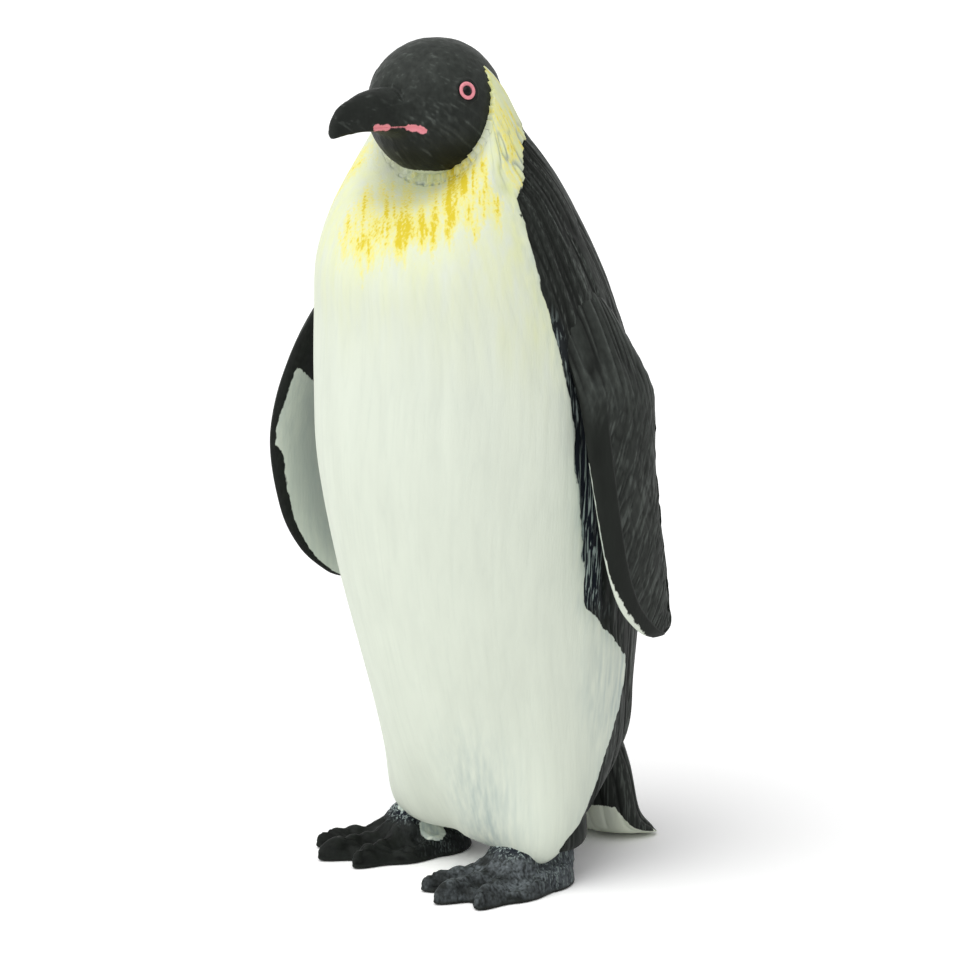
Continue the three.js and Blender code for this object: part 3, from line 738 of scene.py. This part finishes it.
def leg_shell(relief, x, y, turn_degrees):
    """A trouser leg: leaning ovals round the ankle, grooved like the belly, black behind."""
    turn, share = grid(*LEG_GRID)
    height, lean, half_width, half_depth = spline(LEG_SECTIONS, share)
    front = half_depth * np.cos(turn)
    hem = HEM_RISE * (1 - np.cos(turn - HEM_HEADING)) / 2 * (1 - smoothstep(share, 0.2, 0.7))
    upright = height + hem - front * np.sin(np.radians(lean))
    local = stacked(half_width * np.sin(turn), ANKLE_SET - front, upright)
    points = turned(local, np.radians(turn_degrees)) + np.array([x, y, 0])
    belly, crest = strands(turn, height / 5, 60, 31)
    degrees = signed_degrees(turn)
    limit = np.where(degrees * x > 0, LEG_OUTER_LINE, LEG_INNER_LINE)
    edge = np.radians(np.abs(degrees) - limit) * half_width
    skin = carved(points, relief.belly / MM * belly)
    # The strands' grooves are darkened as painted shade.
    return Shell(skin, edge=edge, groove=belly, ridge=crest, cool=0.25, **PLAIN)


def bill_reach(ways):
    """How far rays from the ball's middle run before they leave the bill.

    The place is found between the last step that is still inside and the next one.
    """
    table = spline(BILL_SECTIONS, np.linspace(0, 1, 400))
    steps = np.linspace(4, 18.5, 300)
    x, y, z = (ways[..., axis, None] * steps for axis in range(3))
    half_width, upper, lower = (np.interp(-y, table[0], row) for row in table[1:])
    tall = np.where(z > MOUTH_HEIGHT, upper - MOUTH_HEIGHT, MOUTH_HEIGHT - lower)
    inside = 1 - np.hypot(x / half_width, (z - MOUTH_HEIGHT) / tall)
    inside = np.where(-y > table[0, -1], -1.0, inside)
    inside[..., -1] = -1.0
    last = len(steps) - 1 - np.argmax(inside[..., ::-1] > 0, -1)
    last = np.minimum(last, len(steps) - 2)
    here = np.take_along_axis(inside, last[..., None], -1)[..., 0]
    beyond = np.take_along_axis(inside, last[..., None] + 1, -1)[..., 0]
    reach = steps[last] + (steps[1] - steps[0]) * here / np.maximum(here - beyond, 1e-6)
    return np.where((here > 0) & (ways[..., 1] < 0), reach, 0.0)


def mouth_paint(ahead, z):
    """The mouth: a line that droops at its corner, with two blobs of pink; and the slit carved along it."""
    line = MOUTH_HEIGHT - MOUTH_DROP + MOUTH_SLOPE * (ahead - MOUTH_MIDDLE)
    front = smoothstep(-np.abs(ahead - 11.5), -1.4, -0.9)
    corner = smoothstep(-np.abs(ahead - 7.35), -1.05, -0.6)
    half_height = 0.1 + 0.32 * np.maximum(front, corner)
    ends = smoothstep(ahead, 6.2, 6.6) * (1 - smoothstep(ahead, 12.5, 12.9))
    off = np.abs(z - line + 0.35 * smoothstep(-ahead, -7.4, -6.4))
    return np.where(ends > 0.5, half_height - off, NO_PAINT), ends * bell(off, 0.2)


def head_dry_and_light(x, y, z, lumps):
    """Dry brush on the head, with painted light: grey that grows towards the crown as a painted highlight,
    fades towards the chin as painted shade, and fades towards the bill, with flecks and a worn cheek.
    """
    specks = grain(x / 0.3 + 250, z / 0.3 + y / 0.4 + 290, 47)
    flecks = smoothstep(specks * (0.5 + 0.5 * lumps), 0.55, 0.75)
    cheek = bell(-y - 5, 3.5) * bell(z + 0.5, 2.5) * smoothstep(specks, 0.3, 0.8)
    # Painted light: more grey higher up the head, less towards the chin.
    thin = 0.2 * smoothstep(z, -5, 0) + 0.2 * smoothstep(z, 1, 6)
    thin = thin * (0.6 + 0.4 * lumps) * (1 - 0.6 * smoothstep(-y, 8, 11))
    return thin + 0.4 * flecks + 0.3 * cheek


def head_shell():
    """The head: rays from the middle of an egg-shaped ball, as long as a power mean of the ball and the bill.

    The power is high above the bill, which keeps the crease under the forehead, and low at its sides.
    """
    turn, share = grid(*HEAD_GRID)
    polar = np.pi * (0.003 + 0.993 * share**1.7)
    ways = stacked(np.sin(polar) * np.cos(turn), -np.cos(polar), np.sin(polar) * np.sin(turn))
    ball = 1 / np.linalg.norm(ways / HEAD_HALVES, axis=-1)
    bill = bill_reach(ways)
    power = 9 + 50 * smoothstep(np.sin(turn), 0.55, 0.9)
    reach = (ball**power + bill**power) ** (1 / power)
    local = ways * reach[..., None]
    x, y, z = np.moveaxis(local, -1, 0)
    mouth, slit = mouth_paint(-y, z)
    lumps = grain(x / 0.9 + 50, z / 0.9 + y / 1.1 + 90, 41)
    pits = grain(x / 0.35 + 150, z / 0.35 + y / 0.5 + 190, 46)
    from_eye = np.linalg.norm(stacked(np.abs(x), y, z) - eye_spot(1) * HEAD_HALVES, axis=-1)
    lid = bell(from_eye - LID_RADIUS, LID_REACH)
    brow = bell(ball - bill, 0.3) * smoothstep(np.sin(turn), 0.5, 0.8)
    rough = LUMP_DEPTH * (1 - lumps) + PIT_DEPTH * pits
    deep = rough + SLIT_DEPTH * slit + BROW_DEPTH * brow - LID_RISE * lid
    return Shell(
        turned(carved(local, deep), UPPER_TURN) + HEAD_PLACE,
        edge=np.minimum(ALL_PAINT, z + 6.85),
        cool=0.3,
        dabs=NO_PAINT,
        # Painted shade in the hollows between the lumps and round the eye lids.
        groove=0.3 * (1 - lumps) + 0.7 * lid,
        ridge=head_dry_and_light(x, y, z, lumps),
        mouth=mouth,
    )


def eye_spot(side):
    """Where an eye sits on the ball, in shares of its half sizes."""
    ahead = EYE_AHEAD / HEAD_HALVES[1]
    up = EYE_ABOVE / HEAD_HALVES[2]
    return np.array([side * np.sqrt(1 - ahead**2 - up**2), -ahead, up])


def eye_shell(side):
    """An eye bead: a profile turned round the ball's normal at the eye."""
    turn, _ = grid(EYE_AROUND, len(EYE_PROFILE))
    radius, out = np.array(EYE_PROFILE).T
    radius = np.maximum(radius, 0.002)[:, None]
    place = eye_spot(side)
    normal = place / HEAD_HALVES
    normal /= np.linalg.norm(normal)
    level = np.cross([0, 0, 1], normal)
    level /= np.linalg.norm(level)
    rise = np.cross(normal, level)
    ring = np.cos(turn)[..., None] * level + np.sin(turn)[..., None] * rise
    local = place * HEAD_HALVES + radius[..., None] * ring + out[:, None, None] * normal
    return Shell(turned(local, UPPER_TURN) + HEAD_PLACE, radius=np.broadcast_to(radius, turn.shape))


def flipper_hatch(y, height, upper):
    """Crossing strokes on a flipper's blade, which give way to long upright ones at the shoulder."""
    along = 0.5 * y + 0.87 * height
    cross = 0.87 * y - 0.5 * height
    leaning = creases(cross / 0.5 + 60, along / 3 + 60, 63)
    crossing = creases((y + 0.3 * height) / 0.8 + 60, height / 5 + 60, 64)
    shoulder = creases(y / 0.85 + 60, height / 9 + 60, 65)
    scratch = smoothstep(grain(cross / 0.24 + 160, along / 1.6 + 60, 66), 0.55, 0.8) * (1 - upper)
    light = creases(y / 0.6 + 60, height / 14 + 60, 67) * upper
    hatch = np.maximum(leaning, 0.7 * crossing) * (1 - upper) + 1.6 * shoulder * upper
    return hatch, scratch, light


def flipper_edge(side, outer, height, chord, width, half_thick):
    """Distance past the line round a flipper's pale inner face.

    On the left the pale paint also comes round the front edge as a strip; on the right a black rim is there.
    """
    inner = np.maximum(height + 9 + 0.7 * (chord - 0.5), 0.8 - (width - chord))
    if side < 0:
        rim = np.interp(height, *INNER_RIM.T)
        return np.where(outer > 0, ALL_PAINT, np.maximum(inner, rim - chord))
    limit = np.interp(height, *STRIP_LIMIT.T)
    strip = np.maximum(half_thick * (outer - limit), np.where(outer > 0, chord - STRIP_WIDTH, -ALL_PAINT))
    return np.maximum(np.where(outer > 0, strip, np.maximum(strip, inner)), (height - STRIP_TOP) * 3)


def flipper_shell(relief, side, lift, bow, tuck, flare):
    """A flipper: a flat oval blade that bows outward, hatched behind a smooth leading band."""
    turn, share = grid(*FLIPPER_GRID)
    height, front, rear, half_thick, out = spline(FLIPPER_SECTIONS, share)
    chord = (rear - front) / 2 * (1 + np.cos(turn))
    ragged = grain(turn / FULL_TURN * 40, height / 1.5, 61, 40) * smoothstep(np.cos(turn), 0.6, 1.0)
    y = front + chord - REAR_RAGGED * ragged
    stand = bow * out - tuck * smoothstep(height, -9, 2)
    local = stacked(side * stand + half_thick * np.sin(turn), y, height)
    outer = side * np.sin(turn)
    upper = smoothstep(height, -12, -3)
    hatch, scratch, light = flipper_hatch(y, height, upper)
    panel = np.maximum(smoothstep(chord, 2.2, 2.7), upper) * smoothstep(outer, 0.0, 0.3)
    face = np.where(outer > 0, panel, 0.15)
    deep = relief.hatch / MM * hatch * face + PANEL_DEPTH * panel * smoothstep(-height, 6, 12) * (1 - upper)
    x, y, z = np.moveaxis(carved(local, deep), -1, 0)
    angle = np.radians(-side * flare)
    x, z = x * np.cos(angle) + z * np.sin(angle), z * np.cos(angle) - x * np.sin(angle)
    placed = stacked(x + side * SHOULDER_SIDE, y, z + lift)
    dry = panel * (0.25 + 0.6 * scratch) * (1 - 0.6 * hatch) + 0.6 * light
    return Shell(
        turned(placed, UPPER_TURN) + SHOULDER_PLACE,
        edge=flipper_edge(side, outer, height, chord, rear - front, half_thick),
        # On the inner face the paint darkens towards the middle of the chord: painted shade where the body
        # shades it. On the outer face the hatching is darkened as painted shade.
        groove=np.where(outer > 0, np.clip(0.8 * hatch * face, 0, 1), 2.2 + 2.5 * smoothstep(chord, 1, 5)),
        ridge=np.where(outer > 0, dry, 0.1),
        # The inner face is also greyed: a grey wash that also serves as painted shade.
        cool=np.where(outer > 0, 0.1, 0.35),
        **PLAIN,
    )


def foot_form(turn, share):
    """A foot's skin: rays from the ankle as long as the toes and webs, rising over knuckles to the ankle.

    With it come how far the skin belongs to a toe, to the heel and to the ankle.
    """
    heading = np.where(turn > np.pi, turn - FULL_TURN, turn)
    reach, rise, ankle, high = spline(FOOT_SECTIONS, share)
    apart = np.maximum(0, 1 - TOE_FADE * high)
    toes = apart[..., None] * bell(heading[..., None] - TOE_ANGLES, TOE_SPREAD)
    webbed = 1 - smoothstep(np.abs(heading), WEB_START, WEB_END)
    outline = HEEL_REACH + (WEB_REACH - HEEL_REACH) * webbed
    outline = outline + (toes * (np.array(TOE_REACHES) - WEB_REACH)).sum(-1)
    toe = np.maximum(np.maximum(toes.max(-1), 1 - webbed), 1 - apart)
    thick = WEB_HEIGHT + (TOE_HEIGHT - WEB_HEIGHT) * toe
    heel = smoothstep(-np.cos(turn), HEEL_START, HEEL_END) * np.clip(rise, 0, 1)
    radius = (reach + (1 - reach) * heel) * outline * (1 - ankle) + ANKLE_RADIUS * ankle
    height = np.maximum(0, thick * rise * (1 - ankle) + ANKLE_HEIGHT * high)
    local = stacked(radius * np.sin(turn), ankle * ANKLE_SET - radius * np.cos(turn), height)
    return local, radius, toe, heel, ankle


def foot_shell(relief, name, x, y, turn_degrees):
    """A foot with wrinkles, pits and knuckles carved into it, and the paint that ran down onto it."""
    turn, share = grid(*FOOT_GRID)
    local, radius, toe, heel, ankle = foot_form(turn, share)
    aside, behind, height = np.moveaxis(local, -1, 0)
    upper = smoothstep(height, 0.15, 0.7)
    lumps = grain(aside / 1.5 + 40, behind / 1.5 + height / 1.2 + 60, 71)
    pits = creases(aside / 0.9 + 90, behind / 0.9 + height / 0.8 + 30, 72, 3)
    ahead = radius * np.cos(turn)
    joints = sum(bell(ahead + 0.6 * (lumps - 0.5) - place, 0.4) for place in KNUCKLES)
    joints = joints * (1 - ankle) * toe * smoothstep(np.cos(turn), 0.5, 0.8)
    sunk = np.clip(0.7 * (1 - lumps) + 0.5 * pits + 0.9 * joints, 0, 1.6)
    gentle = upper * (1 - 0.8 * heel) * (1 - 0.7 * smoothstep(ahead, 11.2, 12.4))
    skin = carved(local, relief.foot / MM * sunk * gentle)
    skin[..., 2] = np.maximum(skin[..., 2], 0)
    placed = turned(skin, np.radians(turn_degrees)) + np.array([x, y, 0])
    edge = np.full(turn.shape, ALL_PAINT)
    if name == "right_foot":
        spill = np.linalg.norm(placed - SPILL_PLACE, axis=-1) - SPILL_RADIUS
        smear = SMEAR_HEIGHT - height + 1.8 * (lumps - 0.5)
        edge = np.minimum(np.minimum(spill, smear), edge)
    heelward = 0.35 + 0.65 * smoothstep(-ahead, -9, -3)
    navy = smoothstep(height, 3.6, 5.2) + FOOT_NAVY[name] * smoothstep(-ahead, -5, 0) * upper
    return Shell(
        placed,
        edge=edge,
        # Painted shade in the pits, at the knuckles and in the low lumps.
        groove=np.clip(0.8 * pits + 0.8 * joints + 0.4 * (1 - lumps), 0, 1) * upper,
        ridge=np.clip(FOOT_DRY[name] * lumps * heelward * upper, 0, 1),
        streak=np.clip(navy, 0, 1),
        cool=1.0,
        **PLAIN,
    )


def tail_shell():
    """The tail: a flat oval wedge that widens and thins down to the floor, grooved lengthwise, pale below."""
    turn, share = grid(*TAIL_GRID)
    spine, height, half_width, half_thick = spline(TAIL_SECTIONS, share)
    thick = half_thick * np.sin(turn)
    x = -half_width * np.cos(turn)
    z = height + thick * np.sin(TAIL_LEAN)
    fans = creases(x / half_width * 7 + 40, share * 4 + 10, 81, 3)
    skin = carved(
        stacked(x, spine + thick * np.cos(TAIL_LEAN), z),
        TAIL_DEPTH * fans * smoothstep(np.abs(np.sin(turn)), 0.05, 0.3),
    )
    skin[..., 2] = np.maximum(skin[..., 2], TAIL_CLEARANCE)
    pale_top = np.minimum(4.4, 6.6 * (1 - (x / 6.8) ** 4))
    return Shell(
        skin,
        edge=np.where(np.sin(turn) < 0.2, z - pale_top, ALL_PAINT),
        # The creases are darkened as painted shade.
        groove=fans,
        ridge=0.5 * (1 - fans),
        cool=0.0,
        wash=0.1,
        **PLAIN,
    )


class FIGURE_OT_torso(bpy.types.Operator):
    """Build the torso with its trouser legs"""

    bl_idname = "figure.torso"
    bl_label = "Torso"

    def execute(self, context):
        colours = context.scene.penguin_paint
        relief = context.scene.penguin_relief
        name = "Moulded soft vinyl, brushed cream and charcoal"
        material = painted_vinyl(name, colours, colours.dry, 0.55, drag=(0.28, 14), levels=(0.44, 0.66))
        shells = [torso_shell(relief)]
        shells += [leg_shell(relief, *place) for place in FEET.values()]
        piece("torso_skin", shells, material, "body_vinyl", "torso")
        return {"FINISHED"}


class FIGURE_OT_head(bpy.types.Operator):
    """Build the head with its bill and mouth"""

    bl_idname = "figure.head"
    bl_label = "Head"

    def execute(self, context):
        colours = context.scene.penguin_paint
        name = "Moulded soft vinyl, charcoal with pink lips"
        material = painted_vinyl(name, colours, colours.dry, 0.5, drag=(0.6, 0.9), levels=(0.1, 1.1))
        piece("head_skin", [head_shell()], material, "black_vinyl", "head")
        return {"FINISHED"}


class FIGURE_OT_eyes(bpy.types.Operator):
    """Build both eye beads"""

    bl_idname = "figure.eyes"
    bl_label = "Eyes"

    def execute(self, context):
        material = eye_lacquer(context.scene.penguin_paint)
        for node, side in (("left_eye", 1), ("right_eye", -1)):
            piece(node + "_bead", [eye_shell(side)], material, "eye_lacquer", node)
        return {"FINISHED"}


class FIGURE_OT_flippers(bpy.types.Operator):
    """Build both flippers"""

    bl_idname = "figure.flippers"
    bl_label = "Flippers"

    def execute(self, context):
        colours = context.scene.penguin_paint
        name = "Moulded soft vinyl, charcoal with a pale inner face"
        material = painted_vinyl(name, colours, colours.dry, 0.5, drag=(0.5, 1.2), levels=(0.1, 1.1))
        for node, values in FLIPPERS.items():
            shell = flipper_shell(context.scene.penguin_relief, *values)
            piece(node + "_skin", [shell], material, "black_vinyl", node)
        return {"FINISHED"}


class FIGURE_OT_feet(bpy.types.Operator):
    """Build both feet"""

    bl_idname = "figure.feet"
    bl_label = "Feet"

    def execute(self, context):
        colours = context.scene.penguin_paint
        name = "Moulded soft vinyl, charcoal with slate dry brush"
        material = painted_vinyl(name, colours, colours.slate, 0.55, drag=(0.4, 0.6), levels=(0.35, 0.8))
        for node, place in FEET.items():
            shell = foot_shell(context.scene.penguin_relief, node, *place)
            piece(node + "_skin", [shell], material, "foot_vinyl", node)
        return {"FINISHED"}


class FIGURE_OT_tail(bpy.types.Operator):
    """Build the tail"""

    bl_idname = "figure.tail"
    bl_label = "Tail"

    def execute(self, context):
        colours = context.scene.penguin_paint
        name = "Moulded soft vinyl, charcoal with a pale underside"
        material = painted_vinyl(name, colours, colours.dry, 0.55, drag=(0.28, 6), levels=(0.48, 0.68))
        piece("tail_skin", [tail_shell()], material, "black_vinyl", "tail")
        return {"FINISHED"}


CAMERA_AZIMUTH = np.radians(50)
CAMERA_ELEVATION = np.radians(13.5)
CAMERA_DISTANCE = 700
CAMERA_AIM = np.array([-0.45, -0.53, 45.0])
CAMERA_LENS = 223.2
SENSOR_WIDTH = 36
NEAREST = 0.01
LAMPS = (
    # name, azimuth, elevation and width of the disc in degrees, strength
    ("top", 10, 70, 70, 1.0),
    ("front", -2, 46, 70, 1.15),
)
FLOOR_SIZE = 6
# Paper and surroundings: as they light the scene, and as they are seen
PAPER = (0.92, 1.15)
SURROUNDINGS = (0.52, 1.0)


def direction(azimuth, elevation):
    """Unit vector towards a viewer: azimuth runs from the front towards the figure's left."""
    level = np.cos(elevation)
    return np.array([np.sin(azimuth) * level, -np.cos(azimuth) * level, np.sin(elevation)])


def aimed(made, place, target):
    """An object put at a place and turned to look at a target."""
    made.location = place
    made.rotation_euler = Vector(target - place).to_track_quat("-Z", "Y").to_euler()
    bpy.context.collection.objects.link(made)
    return made


def lamp(name, azimuth, elevation, spread, strength):
    """A far, soft lamp: spread is the width of its disc in degrees."""
    light = bpy.data.lights.new(name, "SUN")
    light.angle = np.radians(spread)
    light.energy = strength
    target = (CAMERA_AIM + ORIGIN) * MM
    place = target + direction(np.radians(azimuth), np.radians(elevation))
    aimed(bpy.data.objects.new(name, light), place, target)


def lit_or_seen(tree, levels):
    """One level for light that fills the scene, another for what is seen, mirrored or seen through."""
    path = add(tree, "ShaderNodeLightPath").node.outputs
    seen = path["Is Camera Ray"]
    for ray in ("Is Glossy Ray", "Is Transmission Ray"):
        seen = add(tree, "ShaderNodeMath", {0: seen, 1: path[ray]}, operation="MAXIMUM")
    return add(tree, "ShaderNodeMapRange", {"Value": seen, "To Min": levels[0], "To Max": levels[1]})


class FIGURE_OT_stage(bpy.types.Operator):
    """Build the floor, the lamps and the camera"""

    bl_idname = "figure.stage"
    bl_label = "Stage"

    def execute(self, context):
        scene = context.scene
        scene.view_settings.view_transform = "Standard"
        bpy.ops.mesh.primitive_plane_add(size=FLOOR_SIZE)
        floor = context.object
        floor.name = "floor"
        material, tree, shader, _ = opened("Matt white paper")
        # Lit paper is plain white to the camera, and its shadows stay grey.
        tree.links.new(lit_or_seen(tree, PAPER), shader.inputs["Base Color"])
        shader.inputs["Roughness"].default_value = 1.0
        shader.inputs["Specular IOR Level"].default_value = 0.0
        floor.data.materials.append(material)
        world = bpy.data.worlds.new("Studio")
        world.use_nodes = True
        tree = world.node_tree
        background = tree.nodes["Background"]
        tree.links.new(lit_or_seen(tree, SURROUNDINGS), background.inputs["Strength"])
        background.inputs["Color"].default_value = (1, 1, 1, 1)
        scene.world = world
        for values in LAMPS:
            lamp(*values)
        camera = bpy.data.cameras.new("camera")
        camera.lens = CAMERA_LENS
        camera.sensor_width = SENSOR_WIDTH
        camera.clip_start = NEAREST
        target = (CAMERA_AIM + ORIGIN) * MM
        place = target + direction(CAMERA_AZIMUTH, CAMERA_ELEVATION) * CAMERA_DISTANCE * MM
        scene.camera = aimed(bpy.data.objects.new("camera", camera), place, target)
        return {"FINISHED"}


STEPS = (
    FIGURE_OT_torso,
    FIGURE_OT_head,
    FIGURE_OT_eyes,
    FIGURE_OT_flippers,
    FIGURE_OT_feet,
    FIGURE_OT_tail,
    FIGURE_OT_stage,
)


class VIEW3D_PT_penguin(bpy.types.Panel):
    """Sidebar with the settings and a button for each step"""

    bl_label = "Penguin Figurine"
    bl_space_type = "VIEW_3D"
    bl_region_type = "UI"
    bl_category = "Penguin"

    def draw(self, context):
        for group in (context.scene.penguin_paint, context.scene.penguin_relief):
            for key in group.__annotations__:
                self.layout.prop(group, key)
        for step in STEPS:
            self.layout.operator(step.bl_idname)


CLASSES = (PenguinPaint, PenguinRelief, *STEPS, VIEW3D_PT_penguin)


def register():
    for made in CLASSES:
        bpy.utils.register_class(made)
    bpy.types.Scene.penguin_paint = bpy.props.PointerProperty(type=PenguinPaint)
    bpy.types.Scene.penguin_relief = bpy.props.PointerProperty(type=PenguinRelief)


def unregister():
    del bpy.types.Scene.penguin_relief
    del bpy.types.Scene.penguin_paint
    for made in reversed(CLASSES):
        bpy.utils.unregister_class(made)


def main():
    register()
    bpy.ops.figure.torso()
    bpy.ops.figure.head()
    bpy.ops.figure.eyes()
    bpy.ops.figure.flippers()
    bpy.ops.figure.feet()
    bpy.ops.figure.tail()
    bpy.ops.figure.stage()


if __name__ == "__main__":
    main()
